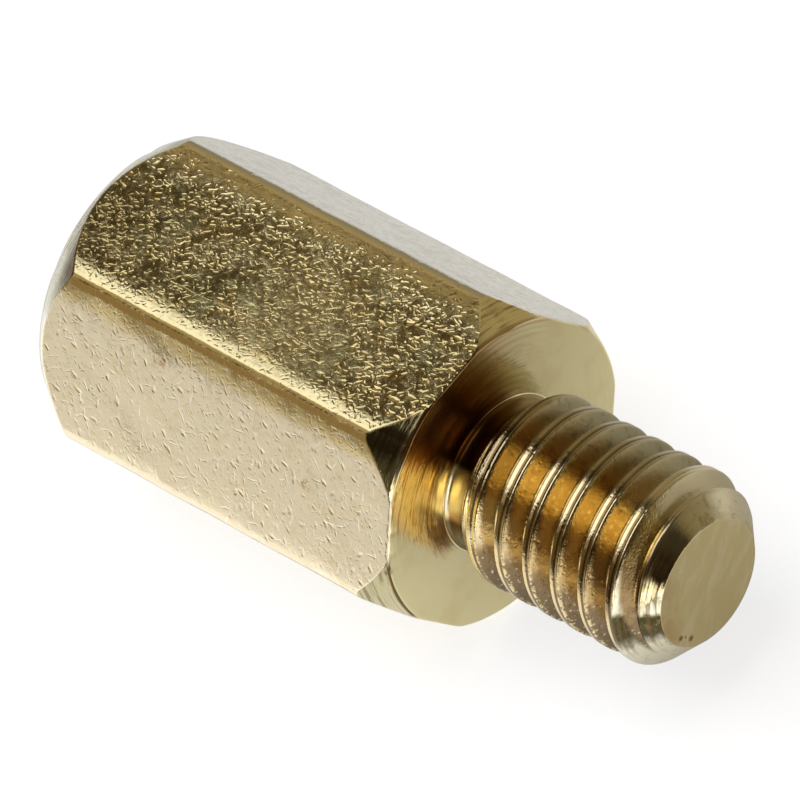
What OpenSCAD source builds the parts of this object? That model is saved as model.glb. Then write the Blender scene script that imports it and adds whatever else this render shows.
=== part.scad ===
// Male-female hex standoff, turned from brass hex bar.
// The axis lies along X and the stud points to +X. The origin is on the axis, in the
// plane of the shoulder, and one flat faces straight down, which is how the part lies.

/* [Hex body] */
// Size of the hexagon across its flats
across_flats = 4; // [3.6:0.05:5]
// Length of the hex body from the shoulder to the tapped end
body_len = 6; // [5.6:0.1:25]
// Radius of the six long edges
edge_r = 0.22; // [0.1:0.01:0.35]
// Diameter of the shoulder face, where its chamfer starts
shoulder_d = 4.08; // [3.3:0.02:4.3]
// Slope of the shoulder's chamfer, from the axis
shoulder_chamfer_angle = 26; // [20:1:60]
// Diameter of the end face at the tapped end, where its chamfer starts
end_d = 3.84; // [3.2:0.02:4.3]
// Slope of the tapped end's chamfer, from the axis
end_chamfer_angle = 33; // [20:1:60]

/* [Stud] */
// Length of the stud beyond the shoulder
stud_len = 3.35; // [2.9:0.05:12]
// Diameter of the stud's flat tip
tip_d = 1.68; // [1.2:0.02:1.9]
// Length of the plain neck between the shoulder and the thread
neck_len = 0.25; // [0.15:0.01:0.6]
// Diameter of the neck
neck_d = 2; // [1.7:0.05:2.2]

/* [Stud thread] */
// Outer diameter of the thread
thread_d = 2.5; // [2.3:0.05:3]
// Distance from one turn to the next
pitch = 0.45; // [0.35:0.05:0.5]
// Width of the flat along the crest
crest_w = 0.12; // [0.05:0.01:0.14]
// Radius at the bottom of the groove
root_r = 0.04; // [0.02:0.01:0.07]
// Where the groove crosses the +Y side, measured from the shoulder
groove_start = 0.22; // [0:0.01:0.5]
// How much shallower the groove is beside the neck, where the die stops
run_out_lift = 0.05; // [0:0.01:0.1]
// Length over which the groove reaches its full depth
run_out_len = 0.9; // [0.2:0.05:1.5]

/* [Tapped hole] */
// Diameter of the drilled hole, which is the inner diameter of its thread
drill_d = 2.05; // [1.9:0.05:2.2]
// Depth of the drilled hole to the start of its point
drill_depth = 4.6; // [3:0.1:4.8]
// Angle of the drill's point
drill_point_angle = 118; // [90:1:140]
// Diameter of the countersink at the mouth
mouth_d = 2.7; // [2.3:0.05:3]

/* [Hidden] */

flat_to_axis = across_flats / 2;
edge_centre = (flat_to_axis - edge_r) * 2 / sqrt(3);
flat_w = 2 * (flat_to_axis - edge_r) / sqrt(3);
shoulder_r = shoulder_d / 2;
end_r = end_d / 2;
thread_r = thread_d / 2;
neck_r = neck_d / 2;
tip_r = tip_d / 2;
drill_r = drill_d / 2;
mouth_r = mouth_d / 2;

// How far the stud starts inside the body, and a cutting tool outside it.
overlap = 0.5;
// Flat sides that stand for each full turn of the thread.
sectors = 48;

// The groove has straight flanks, 60 degrees apart, and a round bottom between them.
flank_angle = 30;
groove_half_w = (pitch - crest_w) / 2;
groove_depth = groove_half_w / tan(flank_angle) - root_r * (1 / sin(flank_angle) - 1);
foot_x = root_r * cos(flank_angle);
foot_depth = groove_depth - root_r * (1 - sin(flank_angle));

// Across the groove, as [distance from its centre, depth], when it is cut less deep by lift.
function groove_section(lift) =
    let (
        half_w = groove_half_w - lift * tan(flank_angle),
        mid_x = (half_w + foot_x) / 2,
        mid_depth = (foot_depth - lift) / 2
    )
    [
        [-half_w, 0],
        [-mid_x, mid_depth],
        [-foot_x, foot_depth - lift],
        [0, groove_depth - lift],
        [foot_x, foot_depth - lift],
        [mid_x, mid_depth],
        [half_w, 0]
    ];

rows_a_turn = len(groove_section(0));
first_turn = floor((neck_len - groove_start) / pitch) - 2;
last_turn = ceil((stud_len - groove_start) / pitch) + 1;
rows = (last_turn - first_turn + 1) * rows_a_turn;

function lift_at(x) = run_out_lift * min(1, max(0, 1 - (x - neck_len) / run_out_len));

// The blank that the die runs over: a neck, 45 degrees up to the crest, and 45 degrees
// down to the tip.
function blank_r(x) = min(thread_r, neck_r + x - neck_len, tip_r + stud_len - x);

// A point of the thread. Rows beyond the neck or the tip are drawn in to them.
function thread_point(row, turn_part) =
    let (
        groove_x = groove_start + pitch * (first_turn + floor(row / rows_a_turn) + turn_part),
        section = groove_section(lift_at(groove_x))[row % rows_a_turn],
        x = min(max(groove_x + section[0], neck_len), stud_len),
        r = min(blank_r(x), thread_r - section[1])
    )
    [x, r * cos(360 * turn_part), r * sin(360 * turn_part)];

// The neck and the thread, as one closed surface. Row 0 is the ring inside the body.
// One time round, each row meets the row that is a turn further along.
module threaded_stud() {
    column = rows + 1;
    points = [
        for (s = [0:sectors - 1])
            let (a = 360 * s / sectors)
                each [
                    [-overlap, neck_r * cos(a), neck_r * sin(a)],
                    for (row = [0:rows - 1]) thread_point(row, s / sectors)
                ]
    ];
    function at(s, row) = s < sectors
        ? s * column + row
        : row == 0 ? 0 : min(row + rows_a_turn, rows);
    sides = [
        for (s = [0:sectors - 1], row = [0:rows - 1])
            each [
                [at(s, row), at(s, row + 1), at(s + 1, row + 1)],
                [at(s, row), at(s + 1, row + 1), at(s + 1, row)]
            ]
    ];
    whole_sides = [
        for (t = sides)
            if (points[t[0]] != points[t[1]] && points[t[1]] != points[t[2]]
                && points[t[2]] != points[t[0]]) t
    ];
    inner_end = [for (s = [0:sectors - 1]) at(s, 0)];
    tip = [for (s = [sectors - 1:-1:0]) at(s, rows)];
    polyhedron(points = points, faces = concat(whole_sides, [inner_end, tip]), convexity = 10);
}

// A hexagon with round corners, flats up and down.
module hex_profile() {
    circle(r = edge_centre, $fn = 6);
    for (side = [0:2])
        rotate(side * 60 + 30)
            square([across_flats, flat_w], center = true);
    for (corner = [0:5])
        rotate(corner * 60)
            translate([edge_centre, 0])
                circle(r = edge_r, $fn = 48);
}

module hex_bar() {
    rotate([0, -90, 0])
        linear_extrude(height = body_len)
            rotate(30)
                hex_profile();
}

// Revolved about the axis, from a profile of [along the axis, radius].
module turned(profile) {
    rotate([0, 90, 0])
        rotate_extrude($fn = 96)
            polygon([for (p = profile) [p[1], p[0]]]);
}

// What the chamfers at the two ends leave of the bar.
module chamfered_blank() {
    clear_r = across_flats;
    turned([
        [0, 0],
        [0, shoulder_r],
        [-(clear_r - shoulder_r) / tan(shoulder_chamfer_angle), clear_r],
        [(clear_r - end_r) / tan(end_chamfer_angle) - body_len, clear_r],
        [-body_len, end_r],
        [-body_len, 0]
    ]);
}

// The drilled hole with its point and the countersink at its mouth, at 45 degrees.
module tapped_hole() {
    point_len = drill_r / tan(drill_point_angle / 2);
    turned([
        [-overlap, 0],
        [-overlap, mouth_r + overlap],
        [mouth_r - drill_r, drill_r],
        [drill_depth, drill_r],
        [drill_depth + point_len, 0]
    ]);
}

module standoff() {
    color("#b5a35c")
    difference() {
        union() {
            intersection() {
                hex_bar();
                chamfered_blank();
            }
            threaded_stud();
        }
        translate([-body_len, 0, 0])
            tapped_hole();
    }
}

standoff();
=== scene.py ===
import math

import bpy
import numpy as np
from mathutils import Matrix, Vector


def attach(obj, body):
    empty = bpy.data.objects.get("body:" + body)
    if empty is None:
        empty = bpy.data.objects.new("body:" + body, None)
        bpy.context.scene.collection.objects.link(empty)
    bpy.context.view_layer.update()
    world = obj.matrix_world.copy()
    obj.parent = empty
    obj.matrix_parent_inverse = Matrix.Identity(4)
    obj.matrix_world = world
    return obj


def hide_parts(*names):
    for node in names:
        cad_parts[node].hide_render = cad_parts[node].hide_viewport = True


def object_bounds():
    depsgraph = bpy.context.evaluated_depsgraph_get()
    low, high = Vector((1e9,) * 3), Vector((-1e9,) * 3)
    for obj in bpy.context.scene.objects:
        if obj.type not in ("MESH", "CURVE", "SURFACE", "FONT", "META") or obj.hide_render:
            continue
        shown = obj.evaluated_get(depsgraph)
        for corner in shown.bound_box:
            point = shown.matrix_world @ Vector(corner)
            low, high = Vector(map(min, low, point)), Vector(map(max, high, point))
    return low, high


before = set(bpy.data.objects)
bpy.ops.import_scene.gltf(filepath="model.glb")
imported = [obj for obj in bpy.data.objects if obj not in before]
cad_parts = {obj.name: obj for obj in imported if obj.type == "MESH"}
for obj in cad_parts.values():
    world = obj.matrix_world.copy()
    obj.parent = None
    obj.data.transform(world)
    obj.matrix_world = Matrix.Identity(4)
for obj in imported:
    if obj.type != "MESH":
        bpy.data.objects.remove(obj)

cadLow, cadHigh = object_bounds()
mm = 0.001
turn = 2 * math.pi
flatTurn = 60  # degrees from one flat, or one long edge, to the next
print("frame loaded, CAD box in mm", [round(v / mm, 3) for v in (*cadLow, *cadHigh)])

cameraPlace = {
    "at": (81.178, -42.535, 113.046),  # mm
    "aim": (-1.234, -0.130, 0.884),  # mm
    "roll": -28.11,  # degrees, the horizon leans to the left
    "lens": 541.5,
    "sensor": 36,
    "clip": (0.01, 5),  # metres
}


def placeCamera():
    # looks from "at" to "aim", then turns by "roll" about its own line of sight
    at, aim = Vector(cameraPlace["at"]) * mm, Vector(cameraPlace["aim"]) * mm
    data = bpy.data.cameras.new("camera")
    data.lens = cameraPlace["lens"]
    data.sensor_width = cameraPlace["sensor"]
    data.clip_start, data.clip_end = cameraPlace["clip"]
    camera = bpy.data.objects.new("camera", data)
    bpy.context.scene.collection.objects.link(camera)
    look = (aim - at).to_track_quat("-Z", "Y").to_matrix().to_4x4()
    roll = Matrix.Rotation(math.radians(cameraPlace["roll"]), 4, "Z")
    camera.matrix_world = Matrix.Translation(at) @ look @ roll
    bpy.context.scene.camera = camera


placeCamera()
print("camera placed")

bodyShape = {  # mm
    "flatToAxis": 2.0,
    "edgeRadius": 0.22,
    "length": 6.0,
    "shoulderRadius": 2.04,
    "shoulderSlope": 26,  # degrees from the axis
    "endRadius": 1.92,
    "endSlope": 33,
    "cornerRound": 0.035,
    "drillRadius": 1.025,
    "drillDepth": 4.6,
    "drillPoint": 0.616,
    "mouthRadius": 1.35,
    "edgeColumns": (3.6, 9),  # degrees beside each long edge, and points over them
    "flatColumns": 15,  # points from there to the middle of the flat
    "outlineRows": (5, 8, 10, 110, 12, 12),  # countersink, end, chamfer, side, chamfer, shoulder
    "cornerRows": (-2.0, -1.3, -0.8, -0.4, 0.4, 0.8, 1.3),  # rows at a corner, in "cornerRound"
}


def columnAngles():
    # close together over each long edge, wider apart over the flats
    near, count = bodyShape["edgeColumns"]
    over = np.linspace(near, flatTurn / 2, bodyShape["flatColumns"])[1:]
    half = np.concatenate([np.linspace(0, near, count), over])
    side = np.concatenate([half, flatTurn - half[-2:0:-1]])
    return np.radians(np.concatenate([side + flatTurn * k for k in range(6)]))


def fromEdge(phi):
    # degrees from the nearest long edge, below 0 before it and above 0 after it
    return (np.degrees(phi) + flatTurn / 2) % flatTurn - flatTurn / 2


def hexRadius(phi):
    # the flat's distance over the cosine, and over an edge the far side of a small circle
    edge = bodyShape["edgeRadius"]
    centre = (bodyShape["flatToAxis"] - edge) * 2 / math.sqrt(3)
    off = np.abs(fromEdge(phi))
    flat = bodyShape["flatToAxis"] / np.cos(np.radians(flatTurn / 2 - off))
    off = np.radians(off)
    under = np.maximum(edge ** 2 - (centre * np.sin(off)) ** 2, 0)
    touch = math.atan2(edge / 2, centre + edge * math.sqrt(3) / 2)
    return np.where(off < touch, centre * np.cos(off) + np.sqrt(under), flat)


def smoothMax(a, b, width):
    # the larger of two, with a parabola of that width where they meet
    near = np.maximum(width - np.abs(a - b), 0)
    return np.maximum(a, b) + near * near / (4 * width)


def smoothMin(a, b, width):
    # the smaller of two, rounded in the same way
    return -smoothMax(-a, -b, width)


def ramp(value, start, full):
    # 0 at start, 1 at full, straight in between
    return np.clip((value - start) / (full - start), 0, 1)


def roundedOutline(corners, rows, width):
    # corners: per column a polyline in (x, r). The outline is its mean over a stretch of
    # 2 x width, taken as the difference of its running integral, so corners become round
    step = np.diff(corners, axis=1)
    length = np.maximum(np.linalg.norm(step, axis=2), 1e-9)
    none = np.zeros((len(corners), 1))
    reach = np.concatenate([none, np.cumsum(length, axis=1)], axis=1)
    middle = (corners[:, 1:] + corners[:, :-1]) / 2 * length[..., None]
    area = np.concatenate([np.zeros((len(corners), 1, 2)), np.cumsum(middle, axis=1)], axis=1)

    def integral(s):
        # the whole pieces before s, and of its own piece start x part + slope x part squared / 2
        k = (s[:, :, None] >= reach[:, None, 1:-1]).sum(axis=2)
        take = np.arange(len(corners))[:, None]
        part = (s - reach[take, k])[..., None]
        slope = step[take, k] / length[take, k][..., None]
        return area[take, k] + corners[take, k] * part + slope * part ** 2 / 2

    s = []
    near = np.array(bodyShape["cornerRows"]) * width
    for k, count in enumerate(rows):
        part = np.linspace(0, 1, count + 1)[None, :-1]
        s.append(reach[:, k:k + 1] + part * length[:, k:k + 1])
        if k > 0:
            s.append(reach[:, k:k + 1] + near[None, :])
    s = np.sort(np.concatenate(s + [reach[:, -1:]], axis=1), axis=1)
    s = np.clip(s, 0, reach[:, -1:])
    line = (integral(s + width) - integral(s - width)) / (2 * width)
    line[:, -1] = corners[:, -1]
    return line, s, reach


def grooveDepth(offset, halfWidth, rootRadius, corner):
    # straight flanks 60 degrees apart, a round bottom, and slightly round crest corners
    flankAngle = math.radians(30)
    slope = math.tan(flankAngle)
    bottom = halfWidth / slope - rootRadius
    foot = rootRadius * math.cos(flankAngle)
    off = np.abs(offset)
    under = np.maximum(rootRadius ** 2 - np.minimum(off, foot) ** 2, 0)
    bowl = bottom - rootRadius + np.sqrt(under)
    flank = (halfWidth - off) / slope
    return smoothMax(np.where(off < foot, bowl, flank), 0 * off, corner)


rippleWaves = {
    "count": 30,
    "perSize": (0.6, 1.5),  # fewest and most waves over the ripple's size
}


def ripple(points, size, seed):
    # plane waves with random directions and starts, together about one unit high
    pick = np.random.default_rng(seed)
    count = rippleWaves["count"]
    ways = pick.normal(size=(count, 3))
    often = turn / size * pick.uniform(*rippleWaves["perSize"], (count, 1))
    ways *= often / np.linalg.norm(ways, axis=1)[:, None]
    starts = pick.uniform(0, turn, count)
    return np.sin(points @ ways.T + starts).sum(axis=-1) / math.sqrt(count / 2)


def toSpace(x, r, phi):
    # x stays, y = r cos phi, z = r sin phi
    return np.stack([x, r * np.cos(phi), r * np.sin(phi)], axis=-1)


def gridTriangles(columns, rows, wrap):
    # two triangles a cell; once round, row k meets row wrap[k] of the first column
    here = np.arange(columns)[:, None] * rows + np.arange(rows)[None, :]
    there = np.concatenate([here[1:], np.asarray(wrap)[None, :]])
    a, b, c, d = here[:, :-1], here[:, 1:], there[:, 1:], there[:, :-1]
    pairs = [np.stack([a, c, b], -1), np.stack([a, d, c], -1)]
    return np.stack(pairs, axis=2).reshape(-1, 3)


def makePiece(name, points, triangles, section, attributes, flatMap=None):
    # welds points that coincide, drops triangles that have closed up, and makes the object
    keys = np.round(points * 1e6).astype(np.int64)
    first, back = np.unique(keys, axis=0, return_index=True, return_inverse=True)[1:]
    triangles = back.reshape(-1)[triangles]
    a, b, c = triangles.T
    whole = (a != b) & (b != c) & (c != a)
    triangles, section = triangles[whole], section[whole]
    mesh = bpy.data.meshes.new(name)
    mesh.from_pydata(points[first] * mm, [], triangles)
    mesh.polygons.foreach_set("material_index", section.astype(np.int32))
    mesh.polygons.foreach_set("use_smooth", np.ones(len(triangles), dtype=bool))
    for key, values in attributes.items():
        mesh.attributes.new(key, "FLOAT", "POINT").data.foreach_set("value", values[first])
    if flatMap is not None:
        mesh.uv_layers.new(name="flatMap").data.foreach_set("uv", flatMap[whole].reshape(-1))
    mesh.update()
    piece = bpy.data.objects.new(name, mesh)
    bpy.context.scene.collection.objects.link(piece)
    print(name, len(first), "points", len(triangles), "triangles")
    return piece


def outsideCorners(hexR):
    # from the countersink over the end face, the side and the shoulder to the axis. A chamfer
    # ends where its cone meets the hexagon: (hexagon's radius - face's radius) / tan slope
    s = bodyShape
    mouthX = s["mouthRadius"] - s["drillRadius"] - s["length"]
    shoulderR = np.minimum(s["shoulderRadius"], hexR)
    endR = np.minimum(s["endRadius"], hexR)
    shoulderX = -(hexR - shoulderR) / math.tan(math.radians(s["shoulderSlope"]))
    endX = -s["length"] + (hexR - endR) / math.tan(math.radians(s["endSlope"]))
    full = np.ones(len(hexR))
    line = [(mouthX, s["drillRadius"]), (-s["length"], s["mouthRadius"]), (-s["length"], endR),
            (endX, hexR), (shoulderX, hexR), (0, shoulderR), (0, 0)]
    return np.stack([np.stack([x * full, r * full], -1) for x, r in line], axis=1)


tappedShape = {  # mm, the thread inside the hole
    "rows": (-0.20, -0.12, -0.06, -0.02, 0.02, 0.06, 0.12, 0.20),  # from the groove's middle
    "halfWidth": 0.19,
    "rootRadius": 0.05,
    "cornerRound": 0.02,
    "depthScale": 0.9375,
    "end": -1.9,
    "fadeAtEnd": 0.5,
    "fadeAtMouth": 0.06,
}


def tappedWall(phi, wallEnd):
    # the hole's wall in helical rows, from the drill's point to the countersink: the drilled
    # radius and the groove's depth, which fades out at both ends
    s, h = bodyShape, tappedShape
    pitch = studShape["pitch"]
    across = np.array(h["rows"])
    wallStart = s["drillDepth"] - s["length"]
    count = math.ceil((wallStart - wallEnd) / pitch) + 4
    turns = np.repeat(np.arange(count), len(across))
    offset = np.tile(across, count)[None, :]
    middle = wallStart + 2 * pitch - pitch * turns[None, :] + pitch * phi[:, None] / turn
    x = np.clip(middle - offset, wallEnd, wallStart)
    deep = grooveDepth(offset, h["halfWidth"], h["rootRadius"], h["cornerRound"]) * h["depthScale"]
    deep = deep * ramp(x, h["end"], h["end"] - h["fadeAtEnd"])
    deep = deep * ramp(x, wallEnd, wallEnd + h["fadeAtMouth"])
    full = np.ones((len(phi), 1))
    pointX = (wallStart + s["drillPoint"] * np.array([1, 0.5, 0])) * full
    pointR = s["drillRadius"] * np.array([0, 0.5, 1]) * full
    return np.stack([pointX, pointR], -1), np.stack([x, s["drillRadius"] + deep], -1)


def makeHexBody():
    # columns run round the bar, rows along one closed outline from the drill's point, out of
    # the mouth, over the outside and to the middle of the shoulder
    phi = columnAngles()
    corners = outsideCorners(hexRadius(phi))
    outline, s, reach = roundedOutline(corners, bodyShape["outlineRows"], bodyShape["cornerRound"])
    point, wall = tappedWall(phi, corners[0, 0, 0])
    profile = np.concatenate([point, wall, outline], axis=1)
    columns, rows = profile.shape[:2]
    wallFirst, sideFirst = point.shape[1], point.shape[1] + wall.shape[1]
    helical = np.arange(wallFirst, sideFirst)
    wrap = np.arange(rows)
    wrap[helical] = np.maximum(helical - len(tappedShape["rows"]), wallFirst)

    outer = np.zeros((columns, rows))
    outer[:, sideFirst:] = 1
    points = wearPoints(toSpace(profile[..., 0], profile[..., 1], phi[:, None]), outer, phi)

    section = np.zeros((columns, rows - 1), dtype=int)  # 0 cut, 1 turned, 2 tumbled
    section[:, :wallFirst - 1] = 1
    middle = (s[:, :-1] + s[:, 1:]) / 2
    part = (middle[:, :, None] >= reach[:, None, 1:-1]).sum(axis=2)
    section[:, sideFirst:] = np.where(part == 3, 2, 1)  # the outline's fourth part is the side
    triangles = gridTriangles(columns, rows, wrap)
    return makePiece("hexBody", points.reshape(-1, 3), triangles, np.repeat(section.reshape(-1), 2),
                     {}, mapFlats(points, triangles, rows))


flatGrain = {  # keeps the marks of the six flats apart
    "angles": (35, -38, 66, 30, -35, 40),  # of the small dents on each flat, degrees from the axis
    "first": (20, 20),  # mm, where the first flat's map starts
    "step": (7.3, 3.1),  # and how much further each next flat's does
}


def mapFlats(points, triangles, rows):
    # millimetres along the bar and around it, turned by each flat's own grain angle:
    # u = along cos + aside sin, v = aside cos - along sin
    corner = points.reshape(-1, 3)[triangles]
    flat = np.degrees(columnAngles()[triangles[:, 0] // rows]) / flatTurn
    flat = np.minimum((flat + 1e-6).astype(int), 5)
    middle = np.radians(flat * flatTurn + flatTurn / 2)[:, None]
    along = corner[..., 0]
    aside = corner[..., 2] * np.cos(middle) - corner[..., 1] * np.sin(middle)
    grain = np.radians(np.array(flatGrain["angles"])[flat])[:, None]
    u = along * np.cos(grain) + aside * np.sin(grain)
    v = aside * np.cos(grain) - along * np.sin(grain)
    shift = np.array(flatGrain["first"]) + np.array(flatGrain["step"]) * flat[:, None, None]
    return np.stack([u, v], axis=-1) + shift


wear = {  # mm
    "seed": 7,
    "rollBefore": (0.003, 0.002, 0.011, 0.003, 0.003, 0.003),  # how far the flats fall away towards
    "rollAfter": (0.003, 0.020, 0.0145, 0.003, 0.003, 0.003),  # each long edge, on its two sides
    "widthBefore": 0.16,
    "widthAfter": (0.33, 0.33, 0.45, 0.33, 0.33, 0.33),
    "powerBefore": 2,
    "powerAfter": (2, 2, 3, 2, 2, 2),
    "edgeBlend": 5.6,  # degrees over which one side's roll becomes the other's
    "rollRadius": (1.6, 1.9),  # the roll fades in between these radii
    "ripple": 0.0025,
    "ripples": ((1.1, 3, 1), (0.45, 4, 0.15)),  # length, seed, share
    "side": (-5.85, -0.12),  # the length that the ripple lies on
    "sideFade": 0.1,
    "markSpan": (-5.7, -0.35),  # the length that the nicks and dents lie on
    "edgeNicks": 60,
    "nickDepth": 0.005,
    "nickSize": (0.04, 0.12),
    "nickSpread": 2.2,  # degrees about the edge
    "flatDents": 90,
    "dentDepth": 0.006,
    "dentSize": (0.08, 0.2),
    "dentSpan": (4, 56),  # degrees from the edge before it
    "leastDepth": 0.3,  # of the deepest
    "depthPower": 1.5,  # above 1, so that most are shallow
    "leastSink": 0.0002,
    "rimFall": 0.045,  # how far the shoulder's rim falls back beside one flat
    "rimRadius": (1.94, 2.04),  # from where to where the fall grows
    "rimPower": 1.6,
    "rimAngle": (151, 15),  # degrees about the axis: its middle and half its reach
    "rimRipple": (0.13, 9, 0.6, 0.4),  # length, seed, mean and share
    "rimLimits": (-0.1, 1.2),  # lowest x that falls, most fall
}

def rollOff(radius, phi):
    # beside each long edge the flats fall away: depth x (1 - distance / width) to a power
    w = wear
    aside = fromEdge(phi)
    edge = np.round(np.degrees(phi) / flatTurn).astype(int) % 6
    after = np.clip(aside / w["edgeBlend"] + 0.5, 0, 1)
    after = after ** 2 * (3 - 2 * after)
    before = 1 - after
    deep = np.array(w["rollBefore"])[edge] * before + np.array(w["rollAfter"])[edge] * after
    width = w["widthBefore"] * before + np.array(w["widthAfter"])[edge] * after
    power = w["powerBefore"] * before + np.array(w["powerAfter"])[edge] * after
    aside = hexRadius(phi) * np.sin(np.radians(np.abs(aside))) - bodyShape["edgeRadius"] / 2
    deep = deep * np.clip(1 - np.maximum(aside, 0) / width, 0, 1) ** power
    return deep[:, None] * ramp(radius, *w["rollRadius"])


def nicksAndDents(points):
    # round dents at random places, depth x e to the minus (distance / size) squared: first the
    # nicks along the edges, then the dents over the flats
    w = wear
    pick = np.random.default_rng(w["seed"])
    sink = 0
    for k in range(w["edgeNicks"] + w["flatDents"]):
        onEdge = k < w["edgeNicks"]
        x = pick.uniform(*w["markSpan"])
        edge = flatTurn * pick.integers(6)
        aside = pick.normal() * w["nickSpread"] if onEdge else pick.uniform(*w["dentSpan"])
        size = pick.uniform(*w["nickSize" if onEdge else "dentSize"])
        deep = pick.uniform(w["leastDepth"], 1) ** w["depthPower"]
        deep = w["nickDepth" if onEdge else "dentDepth"] * deep
        angle = np.radians([edge + aside])
        away = ((points - toSpace(np.array([x]), hexRadius(angle), angle)) ** 2).sum(axis=-1)
        sink = sink + deep * np.exp(-away / size ** 2)
    return sink


def wearPoints(points, outer, phi):
    # moves the outside inwards by its roll, ripple, nicks and dents, and the shoulder's rim back
    w = wear
    x = points[..., 0]
    radius = np.linalg.norm(points[..., 1:], axis=-1)
    inwards = np.stack([0 * phi, -np.cos(phi), -np.sin(phi)], -1)[:, None, :]
    start, end = w["side"]
    onSide = ramp(x, end, end - w["sideFade"]) * ramp(x, start, start + w["sideFade"]) * outer
    waves = sum(share * ripple(points, size, seed) for size, seed, share in w["ripples"])
    sink = rollOff(radius, phi) * outer + w["ripple"] * waves * onSide
    sink = sink + nicksAndDents(points) * outer
    points = points + inwards * np.maximum(sink, w["leastSink"] * outer * onSide)[..., None]
    # the rim's fall grows with the radius, is highest at one angle, and is uneven
    size, seed, mean, share = w["rimRipple"]
    middle, span = w["rimAngle"]
    lowest, most = w["rimLimits"]
    rim = ramp(np.linalg.norm(points[..., 1:], axis=-1), *w["rimRadius"]) ** w["rimPower"]
    rim = rim * np.sqrt(np.clip(1 - np.abs(np.degrees(phi) - middle) / span, 0, 1))[:, None]
    rim = rim * (mean + share * ripple(points, size, seed)) * (points[..., 0] > lowest) * outer
    points[..., 0] -= w["rimFall"] * np.clip(rim, 0, most)
    return points


studShape = {  # mm
    "length": 3.35,
    "tipRadius": 0.84,
    "neckLength": 0.25,
    "neckRadius": 1.0,
    "threadRadius": 1.25,
    "pitch": 0.45,
    "crestWidth": 0.12,
    "rootRadius": 0.04,
    "grooveStart": 0.22,
    "runOutLift": 0.05,
    "runOutLength": 0.9,
    "crestRound": 0.016,
    "blankRound": 0.01,
    "threadRound": 0.02,
    "crestHollow": 0.008,  # between the lips that the die leaves along both sides of the crest
    "hollowPlace": (1.25, 0.55),  # its middle and half width, where the crest goes from 0 to 2
    "flankRows": (0.058, 0.085, 0.112, 0.137),  # from the groove's middle
    "crestRows": (-0.012, -0.004, 0.003, 0.010, 0.018, 0.027, 0.036, 0.047),  # from its side
    "neckFoot": [  # x, and the radius as a share of the neck's: a small fillet at its foot
        (-0.3, 0), (-0.3, 1.06), (-0.002, 1.06), (0.004, 1.038), (0.014, 1.02), (0.032, 1.006),
        (0.06, 1),
    ],
    "tipRings": (1, 0.97, 0.85, 0.6, 0.3, 0),  # shares of the tip's radius
}


def makeThreadedStud():
    # helical rows follow the groove, so that its flanks and crest are clean lines. The radius is
    # the smallest of the neck's cone, the tip's cone and the thread's radius less the groove
    s = studShape
    columns = len(columnAngles())
    phi = np.linspace(0, turn, columns, endpoint=False)
    full = np.ones((columns, 1))
    half = (s["pitch"] - s["crestWidth"]) / 2
    foot = s["rootRadius"] * math.cos(math.radians(30))
    side = np.array([foot * 0.55, foot, *s["flankRows"], *(half + np.array(s["crestRows"]))])
    across = np.concatenate([-side[::-1], [0], side, [s["pitch"] / 2]])
    first = math.floor((s["neckLength"] - s["grooveStart"]) / s["pitch"]) - 2
    last = math.ceil((s["length"] - s["grooveStart"]) / s["pitch"]) + 1
    turns = np.repeat(np.arange(first, last + 1), len(across))
    offset = np.tile(across, last - first + 1)
    middle = s["grooveStart"] + s["pitch"] * (turns[None, :] + phi[:, None] / turn)
    x = np.clip(middle + offset, s["neckLength"], s["length"])
    lift = s["runOutLift"] * np.clip(1 - (x - s["neckLength"]) / s["runOutLength"], 0, 1)
    groove = grooveDepth(offset[None, :] + 0 * x, half, s["rootRadius"], s["crestRound"])
    groove = np.maximum(groove - lift, 0)
    onCrest = np.clip((np.abs(offset) - half) / (s["crestWidth"] / 2), -1, 1)
    onCrest = np.where(offset > 0, onCrest, 2 - onCrest)  # 0 at the body's side, 2 at the tip's
    centre, reach = s["hollowPlace"]
    hollow = (1 + np.cos(math.pi * np.clip((onCrest - centre) / reach, -1, 1))) / 2
    groove = groove + s["crestHollow"] * hollow[None, :]
    neckCone, tipCone = s["neckRadius"] + x - s["neckLength"], s["tipRadius"] + s["length"] - x
    r = smoothMin(neckCone, tipCone, s["blankRound"])
    r = smoothMin(r, s["threadRadius"] - groove, s["threadRound"])
    r = np.where(x <= s["neckLength"], s["neckRadius"], r)
    r = np.where(x >= s["length"], s["tipRadius"], r)

    neckX, neckR = np.array([*s["neckFoot"], (s["neckLength"], 1)]).T
    neck = np.stack([neckX * full, neckR * s["neckRadius"] * full], -1)
    tipR = s["tipRadius"] * np.array(s["tipRings"])
    tip = np.stack([s["length"] * full + 0 * tipR, tipR * full], -1)
    profile = np.concatenate([neck, np.stack([x, r], -1), tip], axis=1)
    rows = profile.shape[1]
    helical = np.arange(len(neckX), len(neckX) + x.shape[1])
    wrap = np.arange(rows)
    wrap[helical] = np.minimum(helical + len(across), helical[-1])
    points = toSpace(profile[..., 0], profile[..., 1], phi[:, None])
    section = np.ones((columns, rows - 1), dtype=int)  # 0 cut, 1 turned
    section[:, helical[:-1]] = 0
    groovePart = np.zeros((columns, rows))
    groovePart[:, helical] = groove / groove.max()
    crestPart = np.full((columns, rows), -1.0)
    crestPart[:, helical] = onCrest[None, :]
    return makePiece("threadedStud", points.reshape(-1, 3), gridTriangles(columns, rows, wrap),
                     np.repeat(section.reshape(-1), 2),
                     {"inGroove": groovePart.reshape(-1), "onCrest": crestPart.reshape(-1)})


hexBody = makeHexBody()
threadedStud = makeThreadedStud()

tree = None  # the node tree that is being built


def startTree(owner):
    # empties the tree of a material or of the world, and has the next nodes go into it
    global tree
    owner.use_nodes = True
    tree = owner.node_tree
    tree.nodes.clear()


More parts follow.
